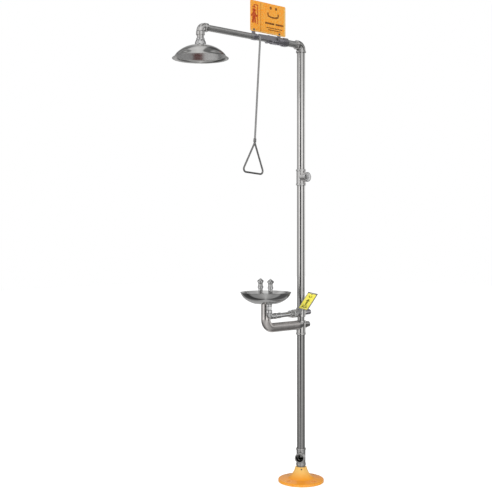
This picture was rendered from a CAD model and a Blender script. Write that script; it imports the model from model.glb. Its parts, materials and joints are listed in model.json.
"""Emergency shower and eyewash station, in metres, +Z up.

The riser stands on the floor (z = 0) along the Z axis. The arms run toward -Y: the
eyewash bowl hangs nearer the riser, the shower dome farther out. The sign lies in a
YZ plane and is printed on both its faces.
"""
import json
import math
import bmesh
import bpy
import numpy as np
from mathutils import Matrix, Vector


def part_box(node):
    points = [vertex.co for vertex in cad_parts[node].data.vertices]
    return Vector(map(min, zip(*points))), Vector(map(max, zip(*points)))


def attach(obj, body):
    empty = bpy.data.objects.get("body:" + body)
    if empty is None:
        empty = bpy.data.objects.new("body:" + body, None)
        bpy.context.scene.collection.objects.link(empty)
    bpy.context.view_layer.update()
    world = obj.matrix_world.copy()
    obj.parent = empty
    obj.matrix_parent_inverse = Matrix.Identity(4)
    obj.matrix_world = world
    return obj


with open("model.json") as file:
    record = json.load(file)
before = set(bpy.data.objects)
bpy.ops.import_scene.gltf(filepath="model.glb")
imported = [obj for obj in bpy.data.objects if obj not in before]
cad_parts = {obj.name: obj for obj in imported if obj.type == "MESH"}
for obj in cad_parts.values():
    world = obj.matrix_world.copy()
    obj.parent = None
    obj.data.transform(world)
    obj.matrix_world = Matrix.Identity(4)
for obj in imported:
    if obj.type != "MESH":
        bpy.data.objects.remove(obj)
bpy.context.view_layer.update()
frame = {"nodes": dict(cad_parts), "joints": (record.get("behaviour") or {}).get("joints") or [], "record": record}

NODES = frame["nodes"]
SLOT_OF = {part["node"]: part["material_slot"] for part in frame["record"]["subparts"]}
scene = bpy.context.scene
UP = Vector((0, 0, 1))

# ---------------------------------------------------------------------------
# Camera: level, off the +X, -Y corner
# ---------------------------------------------------------------------------
CAM_TURN = math.radians(48.10)
RIGHT = Vector((math.cos(CAM_TURN), math.sin(CAM_TURN), 0.0))
VIEW = Vector((-math.sin(CAM_TURN), math.cos(CAM_TURN), 0.0))
CAM_DISTANCE, CAM_LEFT, CAM_HEIGHT = 4.7565, 0.2907, 1.3432

cam_data = bpy.data.cameras.new("camera")
cam_data.sensor_width = 36.0
cam_data.lens = 65.8536585
cam_data.shift_y = -0.039126016
cam = bpy.data.objects.new("camera", cam_data)
scene.collection.objects.link(cam)
cam.location = RIGHT * -CAM_LEFT - VIEW * CAM_DISTANCE + UP * CAM_HEIGHT
cam.rotation_euler = Matrix((RIGHT, UP, -VIEW)).transposed().to_euler()
scene.camera = cam


# ---------------------------------------------------------------------------
# Node helpers
# ---------------------------------------------------------------------------
class Net:
    """Short calls for building a node tree; each returns the new output socket."""

    def __init__(self, tree):
        self.tree = tree
        tree.nodes.clear()

    def node(self, kind, **settings):
        node = self.tree.nodes.new(kind)
        for key, value in settings.items():
            setattr(node, key, value)
        return node

    def link(self, source, target):
        self.tree.links.new(source, target)

    def feed(self, socket, value):
        if isinstance(value, bpy.types.NodeSocket):
            self.link(value, socket)
        else:
            socket.default_value = value

    def math(self, operation, *values, clamp=False):
        node = self.node("ShaderNodeMath", operation=operation, use_clamp=clamp)
        for socket, value in zip(node.inputs, values):
            self.feed(socket, value)
        return node.outputs[0]

    def vector(self, operation, *values):
        node = self.node("ShaderNodeVectorMath", operation=operation)
        for socket, value in zip(node.inputs, values):
            self.feed(socket, value)
        return node.outputs["Vector" if operation == "SUBTRACT" else "Value"]

    def xyz(self, vector):
        node = self.node("ShaderNodeSeparateXYZ")
        self.link(vector, node.inputs[0])
        return tuple(node.outputs)

    def ramp(self, factor, stops):
        """stops: (position, grey level)."""
        node = self.node("ShaderNodeValToRGB")
        points = node.color_ramp.elements
        points.remove(points[-1])
        for i, (place, grey) in enumerate(stops):
            point = points.new(place) if i else points[0]
            point.position = place
            point.color = (grey, grey, grey, 1.0)
        self.link(factor, node.inputs[0])
        return node.outputs[0]

    def fade(self, factor, start, end, top=1.0):
        return self.ramp(factor, [(start, 0.0), (end, top)])

    def mix(self, factor, first, second, blend="MIX"):
        node = self.node("ShaderNodeMix", data_type="RGBA", blend_type=blend)
        self.feed(node.inputs[0], factor)
        for index, color in ((6, first), (7, second)):
            self.feed(node.inputs[index], color + (1.0,) if isinstance(color, tuple) else color)
        return node.outputs[2]

    def noise(self, coords, scale, detail=3.0, rough=0.6):
        node = self.node("ShaderNodeTexNoise")
        self.link(coords, node.inputs["Vector"])
        node.inputs["Scale"].default_value = scale
        node.inputs["Detail"].default_value = detail
        node.inputs["Roughness"].default_value = rough
        return node.outputs[0]

    def glow(self, kind, color, strength):
        node = self.node(kind)
        self.feed(node.inputs[0], color)
        node.inputs[1].default_value = strength
        return node.outputs[0]

    def by_ray(self, is_ray, otherwise, shader):
        node = self.node("ShaderNodeMixShader")
        for socket, source in zip(node.inputs, (is_ray, otherwise, shader)):
            self.link(source, socket)
        return node.outputs[0]


WHITE = (1.0, 1.0, 1.0, 1.0)


def new_material(name):
    """A cleared material with its net and object coordinates."""
    material = bpy.data.materials.new(name)
    material.use_nodes = True
    net = Net(material.node_tree)
    return material, net, net.node("ShaderNodeTexCoord").outputs["Object"]


def shade(color, factor, lift=0.0):
    return tuple(min(1.0, x * factor + lift) for x in color)


def worn(net, base, pattern, edge_color, amount):
    """Base colour with its edges rubbed, broken up by a pattern; also gives the rub mask."""
    geometry = net.node("ShaderNodeNewGeometry")
    edges = net.fade(geometry.outputs["Pointiness"], start=0.505, end=0.56)
    patches = net.fade(pattern, start=0.35, end=0.62)
    rub = net.math("MULTIPLY", net.math("MULTIPLY", edges, patches), amount)
    return net.mix(rub, base, edge_color), rub


def finish(net, color, rough, height, bump, bevel, metallic=0.0, coat=0.0, spec=None):
    """Principled surface with rounded edges (bevel, metres) and a fine bump."""
    bsdf = net.node("ShaderNodeBsdfPrincipled")
    output = net.node("ShaderNodeOutputMaterial")
    net.link(color, bsdf.inputs["Base Color"])
    bsdf.inputs["Metallic"].default_value = metallic
    net.link(rough, bsdf.inputs["Roughness"])
    if coat:
        bsdf.inputs["Coat Weight"].default_value = coat
        bsdf.inputs["Coat Roughness"].default_value = 0.14
    if spec is not None:
        bsdf.inputs["Specular IOR Level"].default_value = spec
    rounded = None
    if bevel:
        rounded = net.node("ShaderNodeBevel", samples=4)
        rounded.inputs[0].default_value = bevel
    relief = net.node("ShaderNodeBump")
    relief.inputs["Strength"].default_value = bump
    relief.inputs["Distance"].default_value = 0.0002
    net.link(height, relief.inputs["Height"])
    if rounded:
        net.link(rounded.outputs[0], relief.inputs["Normal"])
    net.link(relief.outputs[0], bsdf.inputs["Normal"])
    net.link(bsdf.outputs[0], output.inputs[0])
    return bsdf


# ---------------------------------------------------------------------------
# Material kinds
# ---------------------------------------------------------------------------
def grain(net, coords, axis, spin):
    """Rings round the centre spin, polish lines along an axis, or an even grain."""
    if spin:
        x, y, z = net.xyz(coords)
        dx = net.math("SUBTRACT", x, spin[0])
        dy = net.math("SUBTRACT", y, spin[1])
        square = net.math("ADD", net.math("MULTIPLY", dx, dx), net.math("MULTIPLY", dy, dy))
        radius = net.math("SQRT", square)
        rings = net.node("ShaderNodeCombineXYZ")
        # noise cells per metre, outward and upward
        net.link(net.math("MULTIPLY", radius, 420.0), rings.inputs[0])
        net.link(net.math("MULTIPLY", z, 260.0), rings.inputs[1])
        return net.noise(rings.outputs[0], scale=1.0, rough=0.7)
    if axis is not None:
        stretch = [700.0] * 3
        stretch[axis] = 5.0
        mapping = net.node("ShaderNodeMapping")
        net.link(coords, mapping.inputs[0])
        mapping.inputs["Scale"].default_value = stretch
        return net.noise(mapping.outputs[0], scale=1.0)
    return net.noise(coords, scale=420.0)


def darken_bores(net, coords, bsdf, bores):
    """Bores go grey and rough; only the last one listed also turns non-metallic."""
    for origin, axis, radius, start, grey in bores:
        offset = net.vector("SUBTRACT", coords, origin)
        along = net.vector("DOT_PRODUCT", offset, axis)
        length = net.vector("LENGTH", offset)
        radial = net.math("SUBTRACT", net.math("MULTIPLY", length, length),
                          net.math("MULTIPLY", along, along))
        inside = net.math("MULTIPLY", net.math("LESS_THAN", radial, radius * radius),
                          net.math("GREATER_THAN", along, start))
        color, rough = bsdf.inputs["Base Color"], bsdf.inputs["Roughness"]
        net.link(net.mix(inside, color.links[0].from_socket, (grey, grey, grey)), color)
        dull = net.math("MULTIPLY", inside, 0.9)
        net.link(net.math("MAXIMUM", rough.links[0].from_socket, dull), rough)
    net.link(net.math("SUBTRACT", 1.0, inside), bsdf.inputs["Metallic"])
    # specular level: 0.5 outside the bore, 0.05 inside
    net.link(net.math("MULTIPLY_ADD", inside, -0.45, 0.5), bsdf.inputs["Specular IOR Level"])


def steel(name, color, rough, bump=0.05, axis=None, spin=None, streak=0.05, cast=0.0,
          smudge=0.05, tint=(0.60, 0.57, 0.52), bevel=0.0006, tone=None, bores=None,
          satin=None, crevice=None):
    """Stainless steel with grain, smudges, cast lumps and rubbed edges.

    tone: stops of (height, brightness); satin: (height, least roughness below it);
    crevice: (reach, brightness in the deepest corners);
    bores: unpolished holes of (origin, axis, radius, start along the axis, grey).
    """
    material, net, coords = new_material(name)
    lines = grain(net, coords, axis, spin)
    smears = net.noise(coords, scale=9.0, rough=0.55)
    blotches = net.noise(coords, scale=55.0, detail=4.0)
    base = net.mix(net.fade(blotches, start=0.42, end=0.75, top=0.30), color, tint)
    base = net.mix(net.fade(lines, start=0.35, end=0.80, top=0.22), base, shade(color, 0.75))
    base, rub = worn(net, base, blotches, shade(color, 1.2), amount=0.5)
    if tone:
        top = max(height for height, _ in tone)
        level = net.math("DIVIDE", net.xyz(coords)[2], top)
        tones = net.ramp(level, [(height / top, value) for height, value in tone])
        base = net.mix(1.0, base, tones, "MULTIPLY")
    if crevice:
        reach, darkest = crevice
        occlusion = net.node("ShaderNodeAmbientOcclusion")
        occlusion.samples = 6
        occlusion.inputs["Distance"].default_value = reach
        shadow = net.ramp(occlusion.outputs["AO"], [(0.30, darkest), (0.78, 1.0)])
        base = net.mix(1.0, base, shadow, "MULTIPLY")
    gloss = net.math("MULTIPLY_ADD", lines, streak, rough - streak * 0.5)
    gloss = net.math("MULTIPLY_ADD", net.fade(smears, start=0.35, end=0.68), smudge, gloss)
    gloss = net.math("ADD", gloss, net.math("MULTIPLY", rub, 0.06), clamp=True)
    if satin:
        low = net.math("LESS_THAN", net.xyz(coords)[2], satin[0])
        gloss = net.math("MAXIMUM", gloss, net.math("MULTIPLY", low, satin[1]))
    height = lines
    if cast:
        lumps = net.noise(coords, scale=120.0, detail=2.0, rough=0.5)
        height = net.math("ADD", net.math("MULTIPLY", lines, cast),
                          net.math("MULTIPLY", lumps, cast * 1.4))
    bsdf = finish(net, base, gloss, height, bump, bevel, metallic=1.0)
    if bores:
        darken_bores(net, coords, bsdf, bores)
    return material


def paint(name, color, drift, rough, chip, peel=0.10, coat=0.0, edge=0.6, grime=0.25,
          spec=0.35, hub=None):
    """Sprayed enamel: orange peel, drift to a second tone, flecks of grime, rubbed edges.

    hub: (colour, amount) that comes in with height.
    """
    material, net, coords = new_material(name)
    skin = net.noise(coords, scale=420.0, detail=2.0, rough=0.5)
    clouds = net.noise(coords, scale=9.0)
    flecks = net.noise(coords, scale=130.0, detail=4.0, rough=0.65)
    base = net.mix(net.fade(clouds, start=0.30, end=0.72), color, drift)
    base = net.mix(net.fade(flecks, start=0.60, end=0.80, top=grime), base, shade(color, 0.55))
    if hub:
        # the ramp spans 0 to 0.1 m above the floor
        level = net.math("MULTIPLY", net.xyz(coords)[2], 10.0)
        base = net.mix(net.fade(level, start=0.18, end=0.60, top=hub[1]), base, hub[0])
    base, rub = worn(net, base, flecks, chip, edge)
    gloss = net.math("MULTIPLY_ADD", clouds, 0.16, rough - 0.08)
    gloss = net.math("ADD", gloss, net.math("MULTIPLY", rub, 0.2), clamp=True)
    finish(net, base, gloss, skin, peel, bevel=0.0008, coat=coat, spec=spec)
    return material


def plastic(name, color, rough, bump=0.15):
    material, net, coords = new_material(name)
    skin = net.noise(coords, scale=700.0, detail=2.0, rough=0.5)
    clouds = net.noise(coords, scale=25.0)
    tones = net.fade(clouds, start=0.35, end=0.70, top=0.35)
    base = net.mix(tones, color, shade(color, 0.78))
    base, _ = worn(net, base, clouds, shade(color, 1.15, lift=0.04), amount=0.4)
    gloss = net.math("MULTIPLY_ADD", clouds, 0.14, rough - 0.07)
    finish(net, base, gloss, skin, bump, bevel=0.0004)
    return material


# ---------------------------------------------------------------------------
# Materials, keyed by slot or, for the odd ones, by use
# ---------------------------------------------------------------------------
DOME_CENTRE = (0.0, -0.683)
BOWL_CENTRE = (0.0, -0.255)
BORE_RADIUS = 0.0198
LOW_TURN = math.radians(-55.0)
LOW_BORE = ((0.0, 0.0, 0.131), (math.cos(LOW_TURN), math.sin(LOW_TURN), 0.0),
            BORE_RADIUS, 0.020, 0.006)
HIGH_BORE = ((0.0, 0.0, 1.6045), (1.0, 0.0, 0.0), BORE_RADIUS, 0.024, 0.80)
# (height, brightness)
PIPE_TONE = [(0.0, 0.58), (0.80, 0.60), (1.10, 0.96), (1.60, 1.15), (1.90, 1.25),
             (2.15, 1.0), (2.30, 0.92)]
FITTING_TONE = [(0.0, 1.02), (0.95, 1.08), (1.4, 1.40), (1.7, 1.40), (2.0, 0.98),
                (2.24, 1.0), (2.35, 1.10)]
DRAIN_TONE = [(0.0, 1.28), (0.86, 1.28), (0.90, 1.0), (1.1, 1.0)]
# shared settings: sheet spun or pressed to a mirror, rough castings, thin printing ink
SHEET = dict(rough=0.045, bump=0.02, streak=0.02, smudge=0.03, bevel=0.0003)
CAST = dict(cast=0.5, streak=0.04)
INK = dict(rough=0.55, spec=0.10, grime=0.2)

MATS = {
    "steel_pipe": steel("pipe_steel_vertical", (0.72, 0.71, 0.70), rough=0.10, axis=2,
                        bump=0.03, tone=PIPE_TONE),
    "arm": steel("pipe_steel_arm", (0.66, 0.66, 0.65), rough=0.34, axis=1, bump=0.03),
    "steel_fitting": steel("cast_fitting_steel", (0.70, 0.69, 0.68), rough=0.12, bump=0.10,
                           crevice=(0.012, 0.18), bores=[LOW_BORE, HIGH_BORE],
                           tone=FITTING_TONE, **CAST),
    "inlet": steel("inlet_tee_steel", (0.93, 0.92, 0.91), rough=0.30, bump=0.08,
                   crevice=(0.012, 0.20), bores=[HIGH_BORE], **CAST),
    "valve_steel": steel("machined_valve_steel", (0.60, 0.59, 0.64), rough=0.24,
                         crevice=(0.010, 0.22)),
    "polished_chrome": steel("bright_plate", (0.74, 0.74, 0.74), rough=0.08, bump=0.03,
                             streak=0.02, smudge=0.04, crevice=(0.010, 0.20)),
    "lever_steel": steel("satin_sheet", (0.52, 0.51, 0.56), rough=0.32, axis=1),
    "rod_steel": steel("drawn_bar", (0.46, 0.46, 0.46), rough=0.28, axis=2, bump=0.02),
    "handle": steel("bent_bar", (0.30, 0.30, 0.30), rough=0.28, bump=0.02),
    "polished_sheet": steel("spun_dome_sheet", (0.85, 0.845, 0.83), spin=DOME_CENTRE, **SHEET),
    "spray_plate": steel("perforated_sheet", (0.66, 0.65, 0.64), rough=0.05,
                         spin=DOME_CENTRE, bump=0.0, bevel=0.0),
    "polished_bowl": steel("pressed_bowl_sheet", (0.66, 0.66, 0.655), spin=BOWL_CENTRE,
                           **SHEET),
    "supply_steel": steel("supply_tube_steel", (0.86, 0.86, 0.86), rough=0.09, axis=1,
                          bump=0.03, crevice=(0.010, 0.20)),
    "drain_steel": steel("waste_bend_steel", (0.72, 0.69, 0.67), rough=0.07, axis=1,
                         bump=0.03, tint=(0.66, 0.56, 0.54), satin=(0.872, 0.30),
                         tone=DRAIN_TONE),
    "dark_steel": steel("zinc_fastener", (0.26, 0.25, 0.26), rough=0.32, bump=0.08),
    "orange_paint": paint("orange_powder_coat", (0.93, 0.36, 0.006), (0.86, 0.29, 0.006),
                          rough=0.24, peel=0.20, coat=0.35, chip=(0.90, 0.55, 0.15),
                          hub=((0.80, 0.60, 0.20), 0.65)),
    "sign_orange": paint("orange_enamel_sheet", (0.86, 0.225, 0.001), (0.87, 0.27, 0.002),
                         rough=0.62, peel=0.12, spec=0.04, chip=(0.70, 0.45, 0.12),
                         edge=0.8, grime=0.12),
    "label_yellow": paint("yellow_film", (0.90, 0.84, 0.010), (0.88, 0.78, 0.008),
                          rough=0.45, spec=0.15, chip=(0.80, 0.72, 0.35), grime=0.15),
    "seat_white": plastic("white_fluoropolymer", (0.85, 0.85, 0.82), rough=0.45),
    "gasket_black": plastic("black_rubber", (0.022, 0.022, 0.022), rough=0.62, bump=0.3),
    "ink_red": paint("sign_ink_red", (0.44, 0.016, 0.004), (0.22, 0.008, 0.003),
                     chip=(0.7, 0.2, 0.05), **INK),
    "ink_dark": paint("sign_ink_dark", (0.11, 0.022, 0.003), (0.07, 0.016, 0.003),
                      chip=(0.45, 0.2, 0.05), **INK),
    "ink_olive": paint("label_ink", (0.16, 0.15, 0.008), (0.12, 0.12, 0.008), rough=0.45,
                       coat=0.1, chip=(0.4, 0.35, 0.05), grime=0.2),
    "gold": paint("sign_border", (0.78, 0.46, 0.07), (0.70, 0.38, 0.05), rough=0.40,
                  coat=0.2, chip=(0.8, 0.6, 0.3)),
}
# parts that don't take their slot's material
BY_NODE = {"inlet_tee": "inlet", "pull_handle": "handle", "shower_arm_pipe": "arm",
           "valve_feed_nipple": "arm", "spray_plate": "spray_plate"}
for name, part in NODES.items():
    part.data.materials.clear()
    part.data.materials.append(MATS[BY_NODE.get(name, SLOT_OF[name])])

# keep the coloured sheets out of the polished metal's reflections
for name in ("base_flange", "push_flag_label", "sign_plate"):
    NODES[name].visible_glossy = False


# ---------------------------------------------------------------------------
# Outlines for printed shapes, in mm
# ---------------------------------------------------------------------------
def arc(x, y, radius, start, sweep, steps):
    angles = [start + sweep * i / steps for i in range(steps + 1)]
    return [(x + radius * math.cos(t), y + radius * math.sin(t)) for t in angles]


def disc(x, y, radius):
    return arc(x, y, radius, 0.0, 2 * math.pi, 20)[:-1]


def limb(x0, y0, x1, y1, radius):
    """Round-ended bar from one point to another."""
    turn = math.atan2(y1 - y0, x1 - x0)
    return (arc(x1, y1, radius, turn - math.pi / 2, math.pi, 6)
            + arc(x0, y0, radius, turn + math.pi / 2, math.pi, 6))


def drop(x, y, radius):
    return arc(x, y, radius, math.pi * 0.80, 1.40 * math.pi, 14) + [(x, y + radius * 2.1)]


def arc_band(x, y, inner, outer, start_deg, end_deg):
    start, end = math.radians(start_deg), math.radians(end_deg)
    return arc(x, y, outer, start, end - start, 14) + arc(x, y, inner, end, start - end, 14)


def rect(x0, y0, x1, y1):
    return [(x0, y0), (x1, y0), (x1, y1), (x0, y1)]


def mesh_object(name, bm, material):
    mesh = bpy.data.meshes.new(name)
    bm.to_mesh(mesh)
    bm.free()
    obj = bpy.data.objects.new(name, mesh)
    scene.collection.objects.link(obj)
    mesh.materials.append(material)
    return obj


def print_shapes(name, outlines, plane, lift, ink, body):
    """Thin solids from mm outlines on a plane of (origin, right, up); lift is the height."""
    step = 0.00004  # each outline stands proud of the last, so overlaps stay apart
    origin, right, up = plane
    out = right.cross(up).normalized()
    bm = bmesh.new()
    for k, outline in enumerate(outlines):
        points = [(a / 1000.0, b / 1000.0) for a, b in outline]
        low = [bm.verts.new(origin + right * a + up * b - out * step * (k + 1))
               for a, b in points]
        high = [bm.verts.new(origin + right * a + up * b + out * (lift + step * k))
                for a, b in points]
        following = points[1:] + points[:1]
        if sum(a * d - c * b for (a, b), (c, d) in zip(points, following)) < 0:
            low.reverse()
            high.reverse()
        bm.faces.new(high)
        bm.faces.new(low[::-1])
        for i in range(len(points)):
            j = (i + 1) % len(points)
            bm.faces.new((low[i], low[j], high[j], high[i]))
    obj = mesh_object(name, bm, MATS[ink])
    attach(obj, body)


# ---------------------------------------------------------------------------
# Sign print: x to the reader's right, y up, from the face's lower left corner
# ---------------------------------------------------------------------------
sign_lo, sign_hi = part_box("sign_plate")
sign_w, sign_h = (sign_hi.y - sign_lo.y) * 1000, (sign_hi.z - sign_lo.z) * 1000
person = [disc(25, 106, 9.5), limb(25, 90, 25, 74, 11.5), limb(25, 92, 9, 79, 5.0),
          limb(25, 92, 41, 79, 5.0), limb(20, 70, 17, 47, 5.8), limb(30, 70, 33, 47, 5.8)]
shower = [[(12, 119), (38, 119), (33, 126), (17, 126)], limb(25, 126, 25, 134, 2.4),
          limb(25, 134, 49, 134, 2.4), limb(49, 134, 49, 40, 2.4),
          limb(13.5, 115, 12, 101, 0.8), limb(37, 115, 38.5, 101, 0.8)]
eyewash = [arc_band(157, 196, 105, 113, 250, 290), limb(121, 98, 121, 106, 4.4),
           limb(193, 98, 193, 106, 4.4), disc(140, 134, 7.5), disc(178, 134, 7.5)]
rules = [rect(102, 50, 166, 59), rect(175, 50, 230, 59), rect(110, 30, 222, 34),
         rect(122, 20, 210, 23.5)]
divider = [rect(69.6, 3, 71.4, sign_h - 3)]
border = [rect(3, 2, sign_w - 2, 6.5), rect(sign_w - 11, 6.5, sign_w - 2, sign_h - 8)]
# (name, outlines, height off the face, ink)
SIGN_PRINTS = [("shower_symbol", person + shower, 0.0003, "ink_red"),
               ("eyewash_symbol", eyewash, 0.0003, "ink_dark"),
               ("rule_bars", rules, 0.0003, "ink_dark"),
               ("divider", divider, 0.0002, "ink_dark"),
               ("border", border, 0.0002, "gold")]
# front is the +X face, back the -X face
SIGN_FACES = {
    "front": (Vector((sign_hi.x, sign_lo.y, sign_lo.z)), Vector((0, 1, 0)), UP),
    "back": (Vector((sign_lo.x, sign_hi.y, sign_lo.z)), Vector((0, -1, 0)), UP),
}
for face, plane in SIGN_FACES.items():
    for name, outlines, lift, ink in SIGN_PRINTS:
        print_shapes(f"sign_{name}_{face}", outlines, plane, lift, ink, "station")

# ---------------------------------------------------------------------------
# Push flag print: the label's own axes come from its joint and its vertices
# ---------------------------------------------------------------------------
joint = [j for j in frame["joints"] if j["child"] == "flag_set"][0]
across = Vector(joint["axis"]).normalized()
if across.x < 0:
    across = -across
verts = np.array([v.co for v in NODES["push_flag_label"].data.vertices], float)
spread = verts - verts.mean(0)
spread = spread - np.outer(spread @ np.array(across), np.array(across))
# eigh sorts upward, so the last vector is the label's long way
along = Vector(np.linalg.eigh(spread.T @ spread)[1][:, 2])
if along.z < 0:
    along = -along
normal = across.cross(along).normalized()
flipped = normal.z < 0
if flipped:
    normal = -normal
local = verts @ np.array([list(across), list(along), list(normal)]).T
label_lo, label_hi = local.min(0), local.max(0)
label_w = (label_hi[0] - label_lo[0]) * 1000
label_h = (label_hi[1] - label_lo[1]) * 1000
left = label_hi[0] if flipped else label_lo[0]
origin = across * float(left) + along * float(label_lo[1]) + normal * float(label_hi[2])
right = across * -1.0 if flipped else across


def label_rect(x0, y0, x1, y1):
    """Rectangle given in fractions of the label."""
    return rect(label_w * x0, label_h * y0, label_w * x1, label_h * y1)


mid = label_w * 0.5
label_shapes = [
    limb(mid, label_h * 0.30, mid, label_h * 0.52, 5.0),
    [(label_w * 0.28, label_h * 0.50), (label_w * 0.72, label_h * 0.50), (mid, label_h * 0.66)],
    label_rect(0.20, 0.09, 0.42, 0.17),
    label_rect(0.58, 0.09, 0.80, 0.17),
    label_rect(0.22, 0.205, 0.78, 0.235),
    arc_band(mid, label_h * 0.84, 7.5, 10.5, 190, 350),
    drop(label_w * 0.36, label_h * 0.80, 3.4),
    drop(label_w * 0.64, label_h * 0.80, 3.4),
]
print_shapes("push_flag_symbols", label_shapes, (origin, right, along), 0.0003, "ink_olive",
             "flag_set")

# ---------------------------------------------------------------------------
# Exposed thread turns where the riser enters its fittings
# ---------------------------------------------------------------------------
PIPE_RADIUS = 0.0212
TURNS, PITCH, DEPTH, TAPER = 3, 0.0016, 0.0005, 0.6
CLEARANCE, ROOT = 0.00002, 0.0004  # valleys above the pipe surface, ring ends below it
SEGMENTS = 72


def thread_ring(name, z, direction):
    """Triangular ridges round the riser, shrinking away from the fitting's end at z."""
    axis = Vector((0, 0, direction)).normalized()
    side = axis.orthogonal().normalized()
    other = axis.cross(side)
    profile = [(PIPE_RADIUS - ROOT, 0.0)]  # (radius, distance from the fitting)
    for turn in range(TURNS):
        crest = DEPTH * (1.0 - TAPER * turn / TURNS)
        profile += [(PIPE_RADIUS + CLEARANCE, turn * PITCH),
                    (PIPE_RADIUS + crest, (turn + 0.5) * PITCH)]
    profile += [(PIPE_RADIUS + CLEARANCE, TURNS * PITCH), (PIPE_RADIUS - ROOT, TURNS * PITCH)]
    bm = bmesh.new()
    rings = []
    for i in range(SEGMENTS):
        angle = 2 * math.pi * i / SEGMENTS
        outward = side * math.cos(angle) + other * math.sin(angle)
        rings.append([bm.verts.new(Vector((0, 0, z)) + outward * radius + axis * rise)
                      for radius, rise in profile])
    for i in range(SEGMENTS):
        ring, after = rings[i], rings[(i + 1) % SEGMENTS]
        for k in range(len(profile)):
            m = (k + 1) % len(profile)
            bm.faces.new((ring[k], after[k], after[m], ring[m]))
    bmesh.ops.recalc_face_normals(bm, faces=bm.faces)
    obj = mesh_object(name, bm, MATS["steel_pipe"])
    for polygon in obj.data.polygons:
        polygon.use_smooth = True
    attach(obj, "station")


for name, z, direction in (
        ("floor_tee_top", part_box("waste_outlet_tee")[1].z, 1),
        ("waste_cross_bottom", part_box("eyewash_waste_cross")[0].z, -1),
        ("supply_cross_top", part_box("eyewash_supply_cross")[1].z, 1),
        ("inlet_bottom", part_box("inlet_tee")[0].z, -1),
        ("inlet_top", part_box("inlet_tee")[1].z, 1),
        ("elbow_bottom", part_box("top_elbow")[0].z, -1)):
    thread_ring("threads_" + name, z, direction)


# ---------------------------------------------------------------------------
# Floor: pale, and lifted toward white for the camera only
# ---------------------------------------------------------------------------
def floor_material():
    material, net, coords = new_material("studio_floor")
    clouds = net.noise(coords, scale=3.0, rough=0.5)
    diffuse = net.node("ShaderNodeBsdfDiffuse")
    net.link(net.mix(clouds, (0.93, 0.93, 0.93), (0.95, 0.95, 0.95)), diffuse.inputs[0])
    lifted = net.node("ShaderNodeAddShader")
    net.link(diffuse.outputs[0], lifted.inputs[0])
    net.link(net.glow("ShaderNodeEmission", WHITE, strength=0.42), lifted.inputs[1])
    rays = net.node("ShaderNodeLightPath").outputs
    surface = net.by_ray(rays["Is Camera Ray"], diffuse.outputs[0], lifted.outputs[0])
    net.link(surface, net.node("ShaderNodeOutputMaterial").inputs[0])
    return material


bm = bmesh.new()
bmesh.ops.create_grid(bm, x_segments=8, y_segments=8, size=14.0)
floor = mesh_object("floor", bm, floor_material())
floor.location = (0, 0, -0.0006)
floor.visible_glossy = False

# ---------------------------------------------------------------------------
# World: bright surround with darker strips for the polished metal to mirror
# ---------------------------------------------------------------------------
# Around the horizon, in degrees: 0 is toward the camera, positive to its right.
# (start, brightness) of flat bands, each 3 degrees short of its neighbours' edges
BANDS = [(-180, 0.32), (-97, 0.50), (-64, 1.00), (-36, 0.0), (2, 0.85), (27, 0.80),
         (55, 0.08), (93, 0.70), (150, 0.35)]
BLEND = 3
# (degrees, brightness) above and below the horizon
UPPER = [(-180, 0.60), (-172, 0.45), (-166, 0.28), (-150, 0.13), (-142, 0.32),
         (-122, 0.16), (-108, 0.50), (-84, 0.75), (-60, 0.50), (-40, 0.62), (-15, 0.90),
         (10, 0.85), (32, 0.70), (62, 0.55), (92, 0.50), (106, 0.20), (140, 0.24),
         (150, 0.07), (164, 0.07), (171, 0.34), (180, 0.60)]
LOWER = [(-180, 0.50), (-160, 0.45), (-140, 0.10), (-100, 0.04), (-84, 0.32), (-50, 0.34),
         (-30, 0.42), (0, 0.60), (15, 0.45), (45, 0.34), (72, 0.38), (86, 0.10),
         (130, 0.11), (150, 0.42), (180, 0.50)]
# (position, brightness): overhead from camera left to right, then from far to near
CEILING = [(0.0, 0.35), (0.20, 0.50), (0.24, 0.20), (0.29, 0.22), (0.32, 0.52), (0.45, 0.66),
           (0.55, 0.56), (0.585, 0.17), (0.70, 0.14), (0.73, 0.34), (0.85, 0.50), (1.0, 0.35)]
CEILING_DEPTH = [(0.20, 0.75), (0.33, 1.05), (0.60, 1.0), (1.0, 0.9)]
# (position, brightness) low behind the station, left to right
FAR = [(0.0, 0.26), (0.40, 0.28), (0.41, 0.10), (0.535, 0.10), (0.55, 0.50), (0.74, 0.46),
       (0.755, 0.04), (0.80, 0.04), (0.815, 0.42), (1.0, 0.35)]
PANEL_COLOR = (0.115, 0.058, 0.055)


def around(stops):
    return [(0.5 + degrees / 360.0, value) for degrees, value in stops]


band_stops = []
for (start, value), end in zip(BANDS, [band[0] for band in BANDS[1:]] + [180]):
    band_stops += [(start + (BLEND if start > -180 else 0), value),
                   (end - (BLEND if end < 180 else 0), value)]

world = bpy.data.worlds.new("studio")
scene.world = world
world.use_nodes = True
net = Net(world.node_tree)
ray = net.node("ShaderNodeTexCoord").outputs["Generated"]
rightward = net.vector("DOT_PRODUCT", ray, RIGHT)
nearward = net.vector("DOT_PRODUCT", ray, -VIEW)
bearing = net.math("ARCTAN2", rightward, nearward)
turn = net.math("MULTIPLY_ADD", bearing, 1.0 / (2 * math.pi), 0.5)
upward = net.xyz(ray)[2]
level = net.ramp(turn, around(band_stops))
upper = net.ramp(turn, around(UPPER))
lower = net.ramp(turn, around(LOWER))
is_upper = net.fade(upward, start=0.12, end=0.34)
is_lower = net.fade(net.math("MULTIPLY", upward, -1.0), start=0.10, end=0.30)
is_ceiling = net.fade(upward, start=0.78, end=0.86)
ceiling = net.ramp(net.math("MULTIPLY_ADD", rightward, 0.5, 0.5), CEILING)
depth = net.ramp(net.math("MULTIPLY_ADD", nearward, 0.5, 0.5), CEILING_DEPTH)
ceiling = net.mix(1.0, ceiling, depth, "MULTIPLY")
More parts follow.
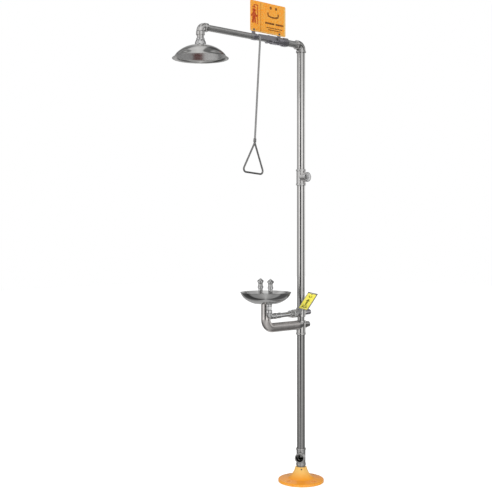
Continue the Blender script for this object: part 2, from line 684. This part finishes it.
# the far background is narrow, with one reddish panel in it
far_place = net.math("MULTIPLY_ADD", rightward, 12.5, 1.125)
far = net.ramp(far_place, FAR)
is_panel = net.math("MULTIPLY", net.math("GREATER_THAN", far_place, 0.41),
                    net.math("LESS_THAN", far_place, 0.54))
is_far = net.math("MULTIPLY", net.math("LESS_THAN", nearward, -0.93),
                  net.math("LESS_THAN", upward, -0.12))
surround = net.mix(is_upper, level, upper)
surround = net.mix(is_lower, surround, lower)
surround = net.mix(is_ceiling, surround, ceiling)
surround = net.mix(is_far, surround, net.mix(is_panel, far, PANEL_COLOR))
# reflections see the surround; diffuse light and the camera see plain white
mirrored = net.glow("ShaderNodeBackground", surround, strength=1.0)
ambient = net.glow("ShaderNodeBackground", WHITE, strength=0.75)
backdrop = net.glow("ShaderNodeBackground", WHITE, strength=1.0)
rays = net.node("ShaderNodeLightPath").outputs
sky = net.by_ray(rays["Is Diffuse Ray"], mirrored, ambient)
sky = net.by_ray(rays["Is Camera Ray"], sky, backdrop)
net.link(sky, net.node("ShaderNodeOutputWorld").inputs[0])


# ---------------------------------------------------------------------------
# Lights
# ---------------------------------------------------------------------------
def softbox(name, near, right, height, target, size, power):
    """Area light placed toward the camera and to its right, hidden from mirrors."""
    light = bpy.data.lights.new(name, "AREA")
    light.shape = "RECTANGLE"
    light.size, light.size_y = size
    light.energy = power
    obj = bpy.data.objects.new(name, light)
    scene.collection.objects.link(obj)
    place = -VIEW * near + RIGHT * right + UP * height
    obj.location = place
    aim = (Vector(target) - place).normalized()
    obj.rotation_euler = aim.to_track_quat("-Z", "Y").to_euler()
    obj.visible_camera = False
    obj.visible_glossy = False


softbox("key_softbox", near=3.2, right=-2.4, height=3.4, target=(0, -0.2, 1.2),
        size=(2.2, 2.2), power=90.0)
softbox("fill_softbox", near=2.6, right=3.2, height=2.2, target=(0, -0.2, 1.0),
        size=(1.6, 2.6), power=40.0)

scene.view_settings.view_transform = "Standard"
scene.view_settings.look = "None"
scene.view_settings.exposure = 0.0
scene.view_settings.gamma = 1.0
